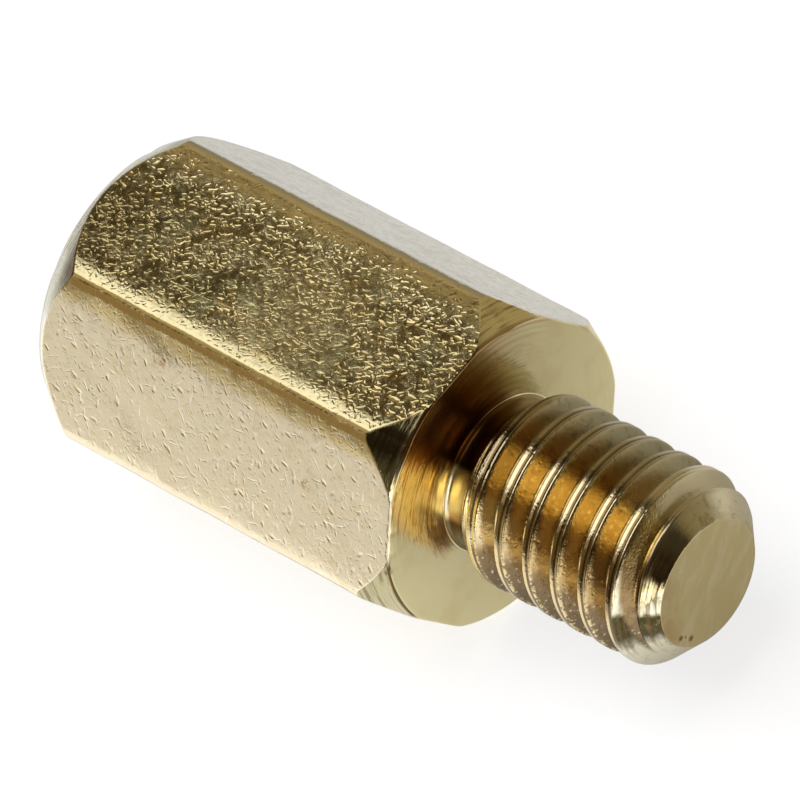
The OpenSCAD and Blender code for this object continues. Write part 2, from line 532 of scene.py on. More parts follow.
def add(kind, inputs=None, **settings):
    # one node; an input is a value or another node's output, and a colour needs no alpha
    node = tree.nodes.new("ShaderNode" + kind)
    for key, value in settings.items():
        setattr(node, key, value)
    for key, value in (inputs or {}).items():
        if isinstance(value, bpy.types.NodeSocket):
            tree.links.new(value, node.inputs[key])
        elif node.inputs[key].type == "RGBA":
            node.inputs[key].default_value = (*value, 1)
        else:
            node.inputs[key].default_value = value
    return node


def calc(operation, a, b=0.0):
    # one step of arithmetic on two numbers or outputs
    return add("Math", {0: a, 1: b}, operation=operation).outputs[0]


def plus(a, b):
    # a + b
    return calc("ADD", a, b)


def times(a, b):
    # a x b
    return calc("MULTIPLY", a, b)


def total(values):
    # the sum of all of them
    value = values[0]
    for other in values[1:]:
        value = plus(value, other)
    return value


def vector(operation, inputs, output=0):
    # one step of arithmetic on vectors
    return add("VectorMath", inputs, operation=operation).outputs[output]


def fade(value, low, high, toLow=0.0, toHigh=1.0):
    # smooth step of value from low to high
    return add("MapRange", {"Value": value, "From Min": low, "From Max": high,
               "To Min": toLow, "To Max": toHigh}, interpolation_type="SMOOTHSTEP").outputs[0]


def between(value, low, high, soft):
    # 1 between low and high, 0 outside them, with a smooth step of 2 x soft over each
    rise = fade(value, low - soft, low + soft)
    return times(rise, fade(value, high - soft, high + soft, 1, 0))


def blend(part, a, b):
    # a x (1 - part) + b x part
    return add("Mix", {0: part, 6: a, 7: b}, data_type="RGBA").outputs[2]


def within(field, limits):
    # how far a point is inside all the limits, as the product of their shares. A limit is a
    # field that is a share already, or a field with where its smooth step starts and is full
    # and, if not 0 and 1, the values there, or a field with two ends and how soft both are
    part = None
    for limit in limits:
        if isinstance(limit, str):
            share = field[limit]
        else:
            name, *step = limit
            share = (between if len(step) == 3 else fade)(field[name], *step)
        part = share if part is None else times(part, share)
    return part


def coat(colour, field, coats, colours):
    # lays colours over a colour, one after the other: name, limits, and its share if not 1
    for name, limits, *share in coats:
        part = within(field, limits)
        if share:
            part = times(part, share[0])
        colour = blend(part, colour, colours[name])
    return colour


def place():
    # object coordinates in millimetres
    here = add("TexCoord").outputs["Object"]
    return vector("MULTIPLY", {0: here, 1: (1 / mm, 1 / mm, 1 / mm)})


def flatPlace(size, far):
    # millimetres along and across a flat's grain, shaken a little so that no mark is regular
    here = add("UVMap", uv_map="flatMap").outputs[0]
    noise = {"Vector": here, "Scale": 1 / size, "Detail": 1.0}
    shake = add("TexNoise", noise).outputs["Color"]
    shake = vector("SUBTRACT", {0: shake, 1: (0.5, 0.5, 0.5)})
    return vector("MULTIPLY_ADD", {0: shake, 1: (far, far, far), 2: here})


def along(here, way):
    # how far a point lies that way: the sum of the products of their x, y and z
    return vector("DOT_PRODUCT", {0: here, 1: way}, "Value")


def distanceTo(here, point):
    # the root of the sum of the squared differences
    return vector("DISTANCE", {0: here, 1: point}, "Value")


def angleAbout(y, z):
    # degrees about the bar's axis, 0 at +Y and 90 at the top, up to 360
    back = calc("ARCTAN2", times(z, -1), times(y, -1))
    return plus(times(back, 180 / math.pi), 180)


def grain(here, size, detail=2.0, rough=0.5):
    # soft noise from 0 to 1: waves of that size, and halves of it down to its detail
    return add("TexNoise", {"Vector": here, "Scale": 1 / size, "Detail": detail,
               "Roughness": rough}).outputs["Fac"]


def readFields(here, values):
    # what limits measure: x, radius and angle, and the finish's own directions and grains
    x, y, z = add("SeparateXYZ", {0: here}).outputs
    squares = plus(times(y, y), times(z, z))
    field = {"x": x, "radius": calc("SQRT", squares), "angle": angleAbout(y, z)}
    for name, way in values["directions"].items():
        field[name] = along(here, way)
    for name, size in values["grains"].items():
        field[name] = grain(here, *size)
    return field


def addAreas(field, values):
    # the finish's named areas become fields too, so that coats can lie on them
    for name, limits in values["areas"].items():
        field[name] = within(field, limits)


def colourAround(angle, stops):
    # colours at given degrees, blended in between
    ramp = add("ValToRGB", {"Fac": times(angle, 1 / 360)})
    ramp.color_ramp.interpolation = "EASE"
    points = ramp.color_ramp.elements
    points[0].position, points[1].position = 0, 1
    points[0].color = points[1].color = (*stops[0][1], 1)
    for degrees, colour in stops[1:]:
        points.new(degrees / 360).color = (*colour, 1)
    return ramp.outputs[0]


cellMarks = {  # what the marks in cells have in common
    "dentRadius": (0.3, 0.65),  # of the cell's size
    "dentFull": 0.5,  # of the cells that have one, how many have less than its full depth
    "strokeFull": 0.6,
    "strokeDepth": (0.35, 1),
    "spotCore": 0.2,  # of a spot's radius, at full strength
}


def bowl(ratio, depth):
    # depth x (1 - ratio squared) squared, and nothing beyond ratio 1
    inside = calc("MAXIMUM", calc("SUBTRACT", 1.0, times(ratio, ratio)), 0.0)
    return times(times(inside, inside), depth)


def dents(here, size, share, deep):
    # bowls in some of the cells, each with a radius of its own
    cell = add("TexVoronoi", {"Vector": here, "Scale": 1 / size, "Randomness": 1.0})
    pick = add("SeparateColor", {0: cell.outputs["Color"]}).outputs
    ratio = calc("DIVIDE", cell.outputs["Distance"], fade(pick[1], 0, 1, *cellMarks["dentRadius"]))
    chosen = fade(pick[0], 1 - share, 1 - share * cellMarks["dentFull"])
    return times(bowl(ratio, chosen), -deep)


def strokes(here, size, share, deep, turned, spread, long, thin):
    # in some cells a short bowl, long one way and thin the other, turned by an angle of its own
    cell = add("TexVoronoi", {"Vector": here, "Scale": 1 / size, "Randomness": 0.9},
               voronoi_dimensions="2D")
    pick = add("SeparateColor", {0: cell.outputs["Color"]}).outputs
    offset = vector("SUBTRACT", {0: here, 1: cell.outputs["Position"]})
    least, most = math.radians(turned - spread), math.radians(turned + spread)
    rotated = {"Vector": offset, "Angle": fade(pick[1], 0, 1, least, most)}
    offset = add("VectorRotate", rotated, rotation_type="Z_AXIS").outputs[0]
    offset = vector("MULTIPLY", {0: offset, 1: (1 / long, 1 / thin, 0)})
    ratio = vector("LENGTH", {0: offset}, "Value")
    chosen = times(fade(pick[0], 1 - share, 1 - share * cellMarks["strokeFull"]),
                   fade(pick[2], 0, 1, *cellMarks["strokeDepth"]))
    return times(bowl(ratio, chosen), -deep)


def strokeSets(here, rows, shift):
    # the strokes of each row, each row moved by one shift more, so that no two lie alike
    sets = []
    for k, row in enumerate(rows):
        spot = vector("ADD", {0: here, 1: (shift[0] * k, shift[1] * k, 0)})
        sets.append(strokes(spot, *row))
    return sets


def spots(here, marks):
    # soft round marks: the strongest of strength x smooth fall from the centre
    value = None
    for centre, radius, strength in marks:
        core = radius * cellMarks["spotCore"]
        one = fade(distanceTo(here, centre), core, radius, strength, 0)
        value = one if value is None else calc("MAXIMUM", value, one)
    return value


def newMaterial(name):
    # an empty material, whose tree comes next
    material = bpy.data.materials.new(name)
    startTree(material)
    return material


def metal(colour, height, rough):
    # a metal with that colour and roughness, and a height in mm as its bump
    bump = add("Bump", {"Height": height, "Distance": mm, "Strength": 1.0})
    shader = add("BsdfPrincipled", {"Metallic": 1.0, "Base Color": colour,
                 "Roughness": rough, "Normal": bump.outputs[0]})
    add("OutputMaterial", {"Surface": shader.outputs[0]})


tumbled = {  # the six flats. Lengths are in mm
    "directions": {
        "towardsPale": (0, -0.866, 0.5),  # out of the flat whose brass is pale
        "towardsWhite": (0, 0.866, 0.5),  # out of the flat across the top from it
        "towardsNear": (0, -0.5, 0.866),  # out through the top flat's two long edges
        "towardsFar": (0, 0.5, 0.866),
        "acrossScratch": (-0.041, 1, 0),
    },
    "grains": {  # size, detail and roughness of the noise
        "cloud": (0.9, 3, 0.6),
        "warm": (0.35, 3, 0.6),
        "dulled": (0.35, 4, 0.7),
        "mossy": (0.30, 4, 0.7),
        "uneven": (0.30, 2, 0.6),
        "glossy": (0.10, 3, 0.7),
        "tiny": (0.05, 2, 0.5),
        "rusty": (0.05, 3, 0.7),
    },
    "clean": (0.76, 0.63, 0.32),
    "olive": (0.50, 0.45, 0.22),
    "orange": (0.66, 0.42, 0.14),
    "moss": (0.50, 0.48, 0.27),
    "strip": (0.98, 0.87, 0.52),
    "tappedEnd": (0.36, 0.29, 0.14),
    "farEdge": (0.97, 0.83, 0.47),
    "topEdge": (0.77, 0.69, 0.42),
    "pale": (0.88, 0.77, 0.54),
    "tan": (0.80, 0.64, 0.36),
    "nearEdge": (0.86, 0.69, 0.34),
    "scratch": (1.0, 0.94, 0.78),
    "edgeShade": (0.26, 0.19, 0.07),
    "white": (0.62, 0.60, 0.50),
    "stain": (0.46, 0.30, 0.11),
    "areas": {
        "onPale": [("towardsPale", 1.9, 1.97)],
        "mossPatch": [("mossy", 0.46, 0.66), ("onPale", 0, 1, 1, 0),
                      ("towardsNear", 2.16, 2.22, 1, 0)],
    },
    "topCoats": [
        ("olive", [("cloud", 0.45, 0.7, 0, 0.7)]),
        ("orange", [("warm", 0.52, 0.75, 0, 0.6)]),
        ("moss", ["mossPatch"], 0.6),
        ("strip", [("towardsFar", 2.00, 2.12, 0, 0.8)]),
        ("tappedEnd", [("cloudyX", -4.4, -5.0, 0, 0.65), ("towardsFar", 1.80, 1.95, 1, 0)]),
        ("farEdge", [("towardsFar", 2.13, 2.20)], 0.9),
        ("topEdge", [("towardsNear", 2.16, 2.22), ("tiny", 0.35, 0.6, 0.5, 1)]),
    ],
    "paleCoats": [
        ("tan", [("dulled", 0.5, 0.75, 0, 0.6)]),
        ("nearEdge", [("towardsNear", 2.08, 2.19)]),
    ],
    "lastCoats": [
        ("scratch", ["scratched"]),
        ("edgeShade", [("shakenPale", 1.933, 1.963, 0.006)]),
        ("white", [("towardsWhite", 1.9, 1.97)]),
        ("stain", ["stained", ("rusty", 0.45, 0.6, 0.1, 1)]),
    ],
    "stains": [((-3.856, -1.386, 1.596), 0.22, 0.8), ((-1.392, -1.725, 1.013), 0.12, 0.9)],
    "hazy": [((-2.3, -0.35, 2.0), 1.6, 0.09)],  # centre, radius, how much rougher
    "shadeShake": 0.012,
    "markShake": (0.14, 0.06),  # size and reach of what bends the marks a little
    "fineDeep": 0.0022,
    "fineUneven": (0.35, 0.65, 0.5, 1.5),
    # size of the cells, share that has a mark, depth, degrees turned and spread, half length
    # and half width
    "strokes": [
        (0.090, 0.60, 0.0029, -51, 40, 0.054, 0.018),
        (0.104, 0.60, 0.0032, 19, 40, 0.064, 0.018),
        (0.082, 0.60, 0.0028, -20, 90, 0.038, 0.022),
    ],
    "strokeShift": (11.3, 5.1),
    "fineLimits": [  # weaker on the pale flat and the rolled edges, stronger beside the far edge
        ("onPale", 0, 1, 1, 0.3), ("towardsFar", 2.16, 2.22, 1, 0.25),
        ("towardsNear", 2.22, 2.26, 1, 0.8), ("towardsFar", 2.00, 2.09, 1, 1.6),
        ("cloud", 0.38, 0.62, 1.4, 0.75),
    ],
    "dings": [  # wider marks, and last the hairlines
        (0.150, 0.65, 0.0020, -4, 30, 0.070, 0.028),
        (0.190, 0.55, 0.0034, 0, 50, 0.075, 0.036),
        (0.200, 0.62, 0.0012, -50, 60, 0.150, 0.015),
    ],
    "dingShift": (5.7, 8.9),
    "dingLimits": [("towardsNear", 2.04, 2.20, 1, 0.2)],
    "dingDeeper": (-2.2, -1.0, 2.2),  # from x to x, how much deeper off the pale flat
    "hairlineShown": 1.3,
    "scratchBend": 0.16,
    "scratchDeep": 0.006,
    "longScratch": [
        ("bent", -0.338, -0.324, 0.006), ("x", -4.15, -1.93, 0.2), ("tiny", 0.38, 0.55),
        ("towardsPale", 1.8, 1.6),
    ],
    "gloss": (0.40, 0.75, 0.08, 0.24),
    "mossRough": 0.09,
    "paleRough": 0.05,
}


def tumbledHeight(field, t):
    # the fine grain with its strokes, the dings and the long scratch, in mm
    flat = flatPlace(*t["markShake"])
    uneven = fade(field["uneven"], *t["fineUneven"])
    fine = times(times(field["tiny"], uneven), t["fineDeep"])
    fine = total([fine, *strokeSets(flat, t["strokes"], t["strokeShift"])])
    dings = strokeSets(flat, t["dings"], t["dingShift"])
    start, end, factor = t["dingDeeper"]
    factor = fade(field["onPale"], 0, 1, factor, 1)
    deeper = fade(field["x"], start, end, 1, factor)
    soft = within(field, t["dingLimits"])
    parts = [times(times(ding, deeper), soft) for ding in dings]
    scratch = times(within(field, t["longScratch"]), -t["scratchDeep"])
    shown = -t["hairlineShown"] / t["dings"][-1][2]
    field["scratched"] = times(times(dings[-1], field["onPale"]), shown)
    return total([times(fine, within(field, t["fineLimits"])), *parts, scratch])


def makeTumbled():
    # brass rubbed against brass: small strokes all over, olive and orange clouds, rolled edges
    t = tumbled
    material = newMaterial("tumbledBrass")
    here = place()
    field = readFields(here, t)
    field["bent"] = plus(field["acrossScratch"], times(field["cloud"], t["scratchBend"]))
    field["cloudyX"] = plus(field["x"], field["cloud"])
    field["shakenPale"] = plus(field["towardsPale"], times(field["tiny"], t["shadeShake"]))
    field["stained"] = spots(here, t["stains"])
    addAreas(field, t)
    height = tumbledHeight(field, t)
    colour = coat(t["clean"], field, t["topCoats"], t)
    pale = coat(t["pale"], field, t["paleCoats"], t)
    colour = blend(field["onPale"], colour, pale)
    colour = coat(colour, field, t["lastCoats"], t)
    rougher = calc("MAXIMUM", times(field["mossPatch"], t["mossRough"]),
                   times(field["onPale"], t["paleRough"]))
    rough = plus(fade(field["glossy"], *t["gloss"]), rougher)
    metal(colour, height, plus(rough, spots(here, t["hazy"])))
    return material


turned = {  # chamfers, shoulder, neck and tip. Lengths are in mm, angles in degrees
    "directions": {
        "besideStud": (0, 0.936, 0.353),
        "aboveStud": (0, -0.353, 0.936),
        "alongTip": (0, 0.76, 0.65),
        "acrossTip": (0, -0.65, 0.76),
        "brownSide": (0, -0.95, 0.3),
    },
    "grains": {  # size, detail and roughness of the noise
        "wander": (1.5, 1),
        "drift": (0.8, 1),
        "cloud": (0.7, 3, 0.6),
        "wave": (0.3, 2),
        "blotch": (0.3, 3, 0.6),
        "smooth": (0.12, 2),
        "fleck": (0.08, 2),
    },
    "rings": (0.05, 3, 0.6),  # the tool's rings: size, detail and roughness
    "ringWander": 0.05,
    "ringDrift": 0.25,
    "ringDeep": (0.0038, 0.0114),  # on the faces, on the chamfers
    "smoothDeep": 0.0010,
    "waveDeep": 0.0030,
    "nickDeep": 0.012,
    "tipStretch": 0.35,
    "tipStreaks": (0.22, 4, 0.6),
    "angleShake": 50,  # how far the rings shake the edge of the painted dark reflection on the shoulder
    "clean": (0.87, 0.78, 0.45),
    "dull": (0.72, 0.58, 0.27),
    "tip": (0.74, 0.62, 0.32),
    "tipPale": (0.81, 0.71, 0.43),
    "tipBrown": (0.56, 0.38, 0.16),
    # painted reflection of the golden stud in the shoulder, and the streaks painted in it
    "nearNeck": (0.97, 0.82, 0.46),
    "streak": (0.52, 0.32, 0.10),
    # painted reflection: the dark brown that the shoulder's upper side and upper rim mirror
    "burnt": (0.34, 0.15, 0.035),
    # painted shade: the darkest part of the shoulder's dark reflection, and inside the tip's nicks
    "black": (0.34, 0.17, 0.055),
    # painted shade: darker, greyer brass on the chamfers' low side
    "lowChamfer": (0.50, 0.45, 0.26),
    # turning lines, and painted shade along the rims and in corners
    "line": (0.12, 0.08, 0.03),
    # painted highlight on the shoulder's rim, whose fall back is real
    "rim": (1.0, 0.93, 0.66),
    # painted highlight on the fillet at the neck's foot
    "fillet": (1.0, 0.95, 0.76),
    "chamfer": (0.40, 0.38, 0.25),
    "chamferRim": (0.86, 0.84, 0.72),
    # painted highlight on the low side of the tapped end
    "endLow": (1.0, 0.98, 0.88),
    # painted highlight and shade around the neck: dark from 80 to 119 degrees, a gold highlight
    # from 124 to 158, dark again from 166 to 200
    "neckAround": [  # degrees about the axis, colour
        (0, (0.50, 0.42, 0.22)), (35, (0.28, 0.20, 0.09)), (80, (0.14, 0.06, 0.015)),
        (119, (0.10, 0.04, 0.01)), (124, (0.92, 0.76, 0.38)), (158, (0.92, 0.76, 0.38)),
        (166, (0.16, 0.12, 0.05)), (200, (0.16, 0.12, 0.05)), (260, (0.50, 0.42, 0.22)),
    ],
    "areas": {
        "chamfered": [("x", -0.02, -0.05), ("x", -5.97, -5.93)],
        "onShoulder": [("x", 0.05, 0.02), ("x", -0.10, -0.06), ("radius", 2.035, 2.010)],
        # where the shoulder mirrors the stud, for its painted reflection
        "besideNeck": [("besideStud", -1.35, -1.15), ("besideStud", 0.2, 1.0, 1, 0),
                       ("aboveStud", 0.1, 0.5), "onShoulder"],
        # painted shade along the shoulder's rim on its low side
        "darkRim": [("angle", 163, 196, 3), ("radius", 2.005, 2.055, 0.008), ("x", -0.002, -0.006)],
        "onNeck": [("x", 0.003, 0.28, 0.003)],
    },
    # painted shade where the pale flat, the chamfer and the shoulder meet
    "rimSpots": [((-0.05, -1.97, 0.60), 0.10, 0.9), ((-0.02, -2.00, 0.45), 0.08, 0.8)],
    # nicks in the tip: bump dents, with painted shade inside
    "tipNicks": [((3.35, -0.664, -0.317), 0.06, 1.0), ((3.35, -0.543, -0.479), 0.065, 1.0),
                 ((3.35, -0.60, -0.37), 0.03, 0.8)],
    # painted shade in the corner where the tapped end's chamfer meets the top flat
    "chamferSpots": [((-5.50, -1.06, 1.95), 0.40, 1.0), ((-5.53, -0.82, 1.96), 0.24, 1.0),
                     ((-5.52, -0.62, 1.98), 0.15, 0.7)],
    "tipCoats": [
        ("tipPale", [("streaks", 0.42, 0.68)]),
        ("tipBrown", [("brownSide", 0.35, 0.9), ("blotch", 0.35, 0.65, 0.2, 0.9)]),
        # painted shade in the nicks
        ("black", ["nicked"]),
    ],
    # the painted dark reflection grows darkest towards the neck
    "darkReflectionCoats": [("black", [("radius", 1.75, 1.3)])],
    # painted highlight along the fillet
    "neckCoats": [("fillet", [("x", 0.05, 0.03), ("angle", 126, 156, 5)])],
    "farCoats": [
        ("chamferRim", [("radius", 2.16, 1.96)]),
        # painted shade in that corner
        ("line", ["spotted"]),
        # painted highlight on the low side, from 138 to 200 degrees
        ("endLow", [("angle", 138, 200, 4)]),
    ],
    "coats": [
        ("dull", [("cloud", 0.42, 0.72, 0, 0.4)]),
        ("tipFace", [("x", 3.34, 3.349)]),
        # painted reflection of the stud in the shoulder, with painted streaks and a dark core
        ("nearNeck", ["besideNeck"]),
        ("streak", ["besideNeck", ("ring", 0.48, 0.62, 0, 0.75)]),
        # painted dark reflection on the shoulder's upper side, ragged along the rings
        ("burntFace", [("shaken", 35, 95), ("shaken", 121, 129, 1, 0),
                          ("radius", 2.1, 1.5, 0.75, 1), "onShoulder"]),
        ("black", [("shaken", 154, 166), ("radius", 1.45, 1.15), "besideNeck"], 0.85),
        # painted shade on the chamfers' low side
        ("lowChamfer", ["chamfered", ("angle", 158, 215, 4)]),
        ("line", ["chamfered", ("ring", 0.48, 0.66)], 0.6),
        # painted shade along the shoulder's rim
        ("line", ["rimLine", ("x", -0.6, -0.5)]),
        # painted dark reflection along the shoulder's upper rim
        ("burnt", [("angle", 15, 123, 3), ("angle", 40, 95, 0.35, 0.85),
                      ("radius", 2.0, 2.06, 0.015), ("x", -0.1, -0.08)]),
        # painted shade in the corner between the chamfer and the shoulder, from 103 to 125 degrees
        ("line", [("angle", 103, 125, 3), ("radius", 2.05, 2.08, 0, 0.85), ("x", -0.6, -0.5)]),
        # the rim's burr is real geometry; its near-white colour from 124 to 161 degrees is a
        # painted highlight
        ("rim", [("angle", 124, 161, 3), ("x", -0.004, -0.010), ("x", -0.08, -0.06),
                    ("fleck", 0.36, 0.46)]),
        # the neck with its painted highlight and shade
        ("neck", [("x", 0.003, 0.006), ("x", 0.30, 0.26)]),
        ("farEnd", [("x", -5.0, -5.3)]),
    ],
    "gloss": (3.34, 3.349, 0.18, 0.30),  # the tip is rougher than the rest
    "neckRough": 0.10,
}


def makeTurned():
    # lathe-turned brass: fine rings about the axis, and painted reflections, highlights and shade
    # on the shoulder, neck, rims, chamfers and tip
    t = turned
    material = newMaterial("turnedBrass")
    here = place()
    field = readFields(here, t)
    addAreas(field, t)
    wander = plus(field["radius"], times(field["wander"], t["ringWander"]))
    drift = times(field["drift"], t["ringDrift"])
    spot = add("CombineXYZ", {0: wander, 1: field["x"], 2: drift}).outputs[0]
    field["ring"] = grain(spot, *t["rings"])
    stretched = times(field["alongTip"], t["tipStretch"])
    spot = add("CombineXYZ", {0: stretched, 1: field["acrossTip"]}).outputs[0]
    field["streaks"] = grain(spot, *t["tipStreaks"])
    shake = times(calc("SUBTRACT", field["ring"], 0.5), t["angleShake"])
    field["shaken"] = plus(field["angle"], shake)
    field["nicked"] = spots(here, t["tipNicks"])
    field["spotted"] = spots(here, t["chamferSpots"])
    # painted shade along the rim and where the pale flat meets it
    field["rimLine"] = calc("MAXIMUM", field["darkRim"], spots(here, t["rimSpots"]))
    parts = [times(field["ring"], fade(field["chamfered"], 0, 1, *t["ringDeep"])),
             times(field["smooth"], t["smoothDeep"]), times(field["wave"], t["waveDeep"]),
             times(field["nicked"], -t["nickDeep"])]
    neck = colourAround(field["angle"], t["neckAround"])
    mixed = {
        "tipFace": coat(t["tip"], field, t["tipCoats"], t),
        "burntFace": coat(t["burnt"], field, t["darkReflectionCoats"], t),
        "neck": coat(neck, field, t["neckCoats"], t),
        "farEnd": coat(t["chamfer"], field, t["farCoats"], t),
    }
    colour = coat(t["clean"], field, t["coats"], {**t, **mixed})
    rougher = times(field["onNeck"], t["neckRough"])
    rough = plus(fade(field["x"], *t["gloss"]), rougher)
    metal(colour, total(parts), rough)
    return material


cut = {  # both threads and the cone at the tip. Lengths are in mm, angles in degrees
    "directions": {},
    "grains": {  # size, detail and roughness of the noise
        "uneven": (0.10, 2, 0.6),
        "grime": (0.12, 3, 0.6),
        "breaks": (0.05, 1),
        "drift": (0.6, 1),
        "mottled": (0.16, 4, 0.7),
        "fine": (0.03, 2, 0.6),
    },
    "stripes": (0.04, 1),  # the tool's rings on the cone: size and detail
    "stripeDrift": 0.2,
    # painted highlight and shade on the flanks: a lit gold band from 92 to 118 degrees, dark brown
    # on the low side from 166 to 200
    "flankAround": [  # degrees about the axis, colour
        (0, (0.36, 0.32, 0.20)), (45, (0.36, 0.31, 0.17)), (70, (0.42, 0.30, 0.13)),
        (85, (0.46, 0.29, 0.11)), (92, (0.72, 0.50, 0.17)), (118, (0.72, 0.50, 0.17)),
        (126, (0.66, 0.44, 0.18)), (148, (0.68, 0.48, 0.22)), (166, (0.24, 0.17, 0.09)),
        (200, (0.20, 0.15, 0.09)), (300, (0.30, 0.25, 0.14)),
    ],
    # painted highlights and shade on the crests' lips, by angle about the axis
    "lipAround": [
        (0, (0.42, 0.36, 0.20)), (84, (0.42, 0.36, 0.20)), (92, (0.90, 0.78, 0.50)),
        (121, (0.90, 0.78, 0.50)), (128, (0.30, 0.24, 0.12)), (144, (0.30, 0.24, 0.12)),
        (154, (0.76, 0.61, 0.33)), (220, (0.76, 0.61, 0.33)), (290, (0.42, 0.36, 0.20)),
    ],
    # painted highlight from 130 to 153 degrees and painted shade from 159 to 174 on the tip's cone
    "coneAround": [
        (0, (0.72, 0.64, 0.42)), (98, (0.72, 0.64, 0.42)), (112, (0.56, 0.42, 0.24)),
        (125, (0.40, 0.29, 0.16)), (130, (1.0, 0.93, 0.66)), (153, (1.0, 0.95, 0.70)),
        (159, (0.07, 0.06, 0.02)), (174, (0.08, 0.07, 0.03)), (188, (0.84, 0.79, 0.60)),
        (260, (0.84, 0.79, 0.60)), (340, (0.72, 0.64, 0.42)),
    ],
    "shakes": {"flank": 12, "lip": 16, "cone": 8, "low": 40},  # of their angles
    "lowSide": (132, 165),
    "clean": (0.86, 0.67, 0.33),
    # grime and turning stripes, darker in the hollow between the lips, and painted shade in bands
    # about the axis
    "dirt": (0.16, 0.10, 0.05),
    # painted highlight: gold in the peel dents within the lit band
    "bright": (1.0, 0.80, 0.38),
    # painted glints in the specks on the low side
    "speck": (0.62, 0.50, 0.33),
    # painted highlight on the first turns by the body
    "worn": (1.0, 0.86, 0.52),
    # painted light: paler olive on the thread's upper side near the tip
    "upperTip": (0.72, 0.63, 0.40),
    "mottle": (0.40, 0.30, 0.15),
    "areas": {
        "onCone": [("cone", 4.14, 4.17)],
        "striped": ["onCone", ("angle", 100, 116, 0.1, 1), ("angle", 176, 196, 1, 0.2)],
        "lowCone": ["onCone", ("angle", 160, 190)],
        "upper": [("angle", 65, 88, 1, 0)],
        "lit": [("angle", 90, 122, 5)],
    },
    "coats": [
        # grime, kept lighter in the lit band as painted light
        ("dirt", [("grime", 0.50, 0.72, 0, 0.5), ("lit", 0, 1, 1, 0.3)]),
        # painted highlight in the lit band
        ("bright", ["peel", "lit"]),
        # painted glints on the low side
        ("speck", ["specks", "low"]),
        # painted highlight: clean brass on the flanks by the crest, from 126 to 230 degrees
        ("clean", [("crest", -0.2, -0.6), ("deep", 0.9, 0.7), ("angle", 126, 230, 6)]),
        # darker in the hollow between the lips
        ("dirt", [("crest", 0.75, 1.0), ("crest", 1.75, 1.6), ("deep", 0.5, 0.3)], 0.8),
        # the lips with their painted highlights; on the low side the second lip is broken
        ("lip", [("crest", -0.4, 0.0), ("crest", 1.0, 0.75), ("deep", 0.5, 0.3)]),
        ("lip", [("crest", 1.6, 1.75), ("crest", 2.4, 2.1), "unbroken", ("deep", 0.5, 0.3)]),
        # painted shade in the lit band near the body
        ("dirt", [("x", 1.1, 0.5), ("angle", 86, 116, 5)], 0.5),
        # painted highlight on the first turns, from 130 to 158 degrees
        ("worn", [("x", 1.4, 0.5), ("angle", 130, 158, 6)], 0.8),
        # painted shade near the tip, from 126 to 158 degrees
        ("dirt", [("x", 2.4, 2.8), ("angle", 126, 158, 6)], 0.55),
        # painted light on the upper side near the tip
        ("upperTip", [("x", 2.2, 2.9), ("angle", 100, 80)], 0.8),
        # the tip's cone with its painted highlight and shade
        ("tipCone", ["onCone"]),
        ("mottle", ["onCone", ("mottled", 0.54, 0.68, 0, 0.55)]),
        ("dirt", ["striped", ("stripe", 0.52, 0.60, 0, 0.6)]),
    ],
    "breakSpan": (0.42, 0.58),
    "peel": (0.07, 0.9, -0.9),  # size of the cells, share that is marked, and depth
    "specks": (0.04, 0.28, -1.3),
    "pits": (0.09, 0.5, 0.0025),
    "beads": (0.05, 0.55, 0.004),
    "beadsAbove": 0.25,  # of the depth that they have on the low side
    "fineDeep": 0.0024,
    "stripeDeep": 0.014,
    "coneSmooth": 0.25,  # how much of the grain the cone keeps
    "gloss": (0, 0.4, 0.12, 0.24),
    "dullRough": 0.18,
}


def makeCut():
    # brass cut by a die and a tap: "inGroove" is the depth, 0 to 1, and "onCrest" goes from 0 to
    # 2 across the crest, below 0 on the flanks. Angles are shaken so that no border is straight
    # Colours that change with the angle about the axis are painted highlights and painted shade
    c = cut
    material = newMaterial("cutThread")
    here = place()
    field = readFields(here, c)
    field["cone"] = plus(field["x"], field["radius"])  # the same all over the tip's cone
    addAreas(field, c)
    for name, attribute in (("deep", "inGroove"), ("crest", "onCrest")):
        field[name] = add("Attribute", attribute_name=attribute).outputs["Fac"]
    uneven = calc("SUBTRACT", field["uneven"], 0.5)
    shaken = {name: plus(field["angle"], times(uneven, far))
              for name, far in c["shakes"].items()}
    field["low"] = fade(shaken["low"], *c["lowSide"])
    broken = calc("SUBTRACT", 1.0, fade(field["breaks"], *c["breakSpan"]))
    field["unbroken"] = calc("SUBTRACT", 1.0, times(field["low"], broken))
    field["peel"] = dents(here, *c["peel"])
    field["specks"] = dents(here, *c["specks"])
    drift = times(field["drift"], c["stripeDrift"])
    spot = add("CombineXYZ", {0: field["x"], 1: drift}).outputs[0]
    field["stripe"] = grain(spot, *c["stripes"])
    colours = {**c, "lip": colourAround(shaken["lip"], c["lipAround"]),
               "tipCone": colourAround(shaken["cone"], c["coneAround"])}
    # the flanks with their painted highlight and shade
    flank = colourAround(shaken["flank"], c["flankAround"])
    colour = coat(flank, field, c["coats"], colours)
    offCone = fade(field["onCone"], 0, 1, 1, c["coneSmooth"])
    beading = times(fade(field["low"], 0, 1, c["beadsAbove"], 1), offCone)
    parts = [times(times(field["fine"], offCone), c["fineDeep"]),
             times(dents(here, *c["pits"]), offCone),
             times(dents(here, *c["beads"]), beading),
             times(times(field["stripe"], field["striped"]), c["stripeDeep"])]
    dull = times(plus(field["upper"], field["lowCone"]), c["dullRough"])
    metal(colour, total(parts), plus(fade(field["deep"], *c["gloss"]), dull))
    return material


finishes = [makeCut(), makeTurned(), makeTumbled()]
for piece in (hexBody, threadedStud):
    for material in finishes:
        piece.data.materials.append(material)
    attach(piece, "root")
    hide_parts("standoff")
print("materials made")

